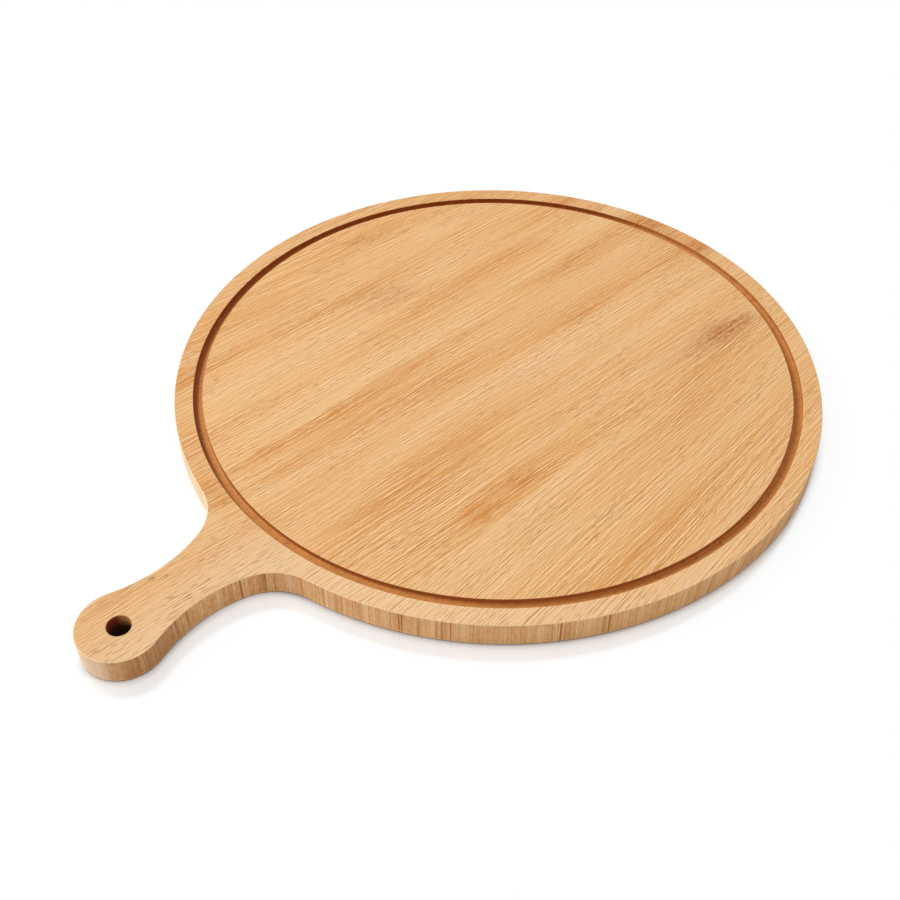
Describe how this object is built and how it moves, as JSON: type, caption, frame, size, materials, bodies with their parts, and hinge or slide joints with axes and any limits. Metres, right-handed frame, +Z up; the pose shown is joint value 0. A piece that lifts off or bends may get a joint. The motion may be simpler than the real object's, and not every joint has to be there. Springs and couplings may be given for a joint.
{
  "type": "round serving board",
  "caption": "Round wooden serving board of edge-glued staves, with a juice groove, a waisted handle and a hanging hole.",
  "frame": {"origin": "centre of the disc on the underside that it rests on", "axes": "+Z up out of the grooved serving face, +X from the handle towards the far edge of the disc, so the handle points along -X"},
  "size_m": [0.4417, 0.35, 0.014],
  "materials": {
    "honey_wood": "sanded and oiled, satin, fine straight grain with short dark pores",
    "pale_wood": "sanded and oiled, satin, fine straight grain, paler stave",
    "warm_wood": "sanded and oiled, satin, fine straight grain, browner stave"
  },
  "bodies": {
    "root": {"handle_stave": "honey_wood", "left_inner_stave": "pale_wood", "left_middle_stave": "warm_wood", "left_outer_stave": "honey_wood", "left_edge_stave": "warm_wood", "right_inner_stave": "warm_wood", "right_middle_stave": "pale_wood", "right_outer_stave": "warm_wood", "right_edge_stave": "honey_wood"}
  },
  "joints": []
}
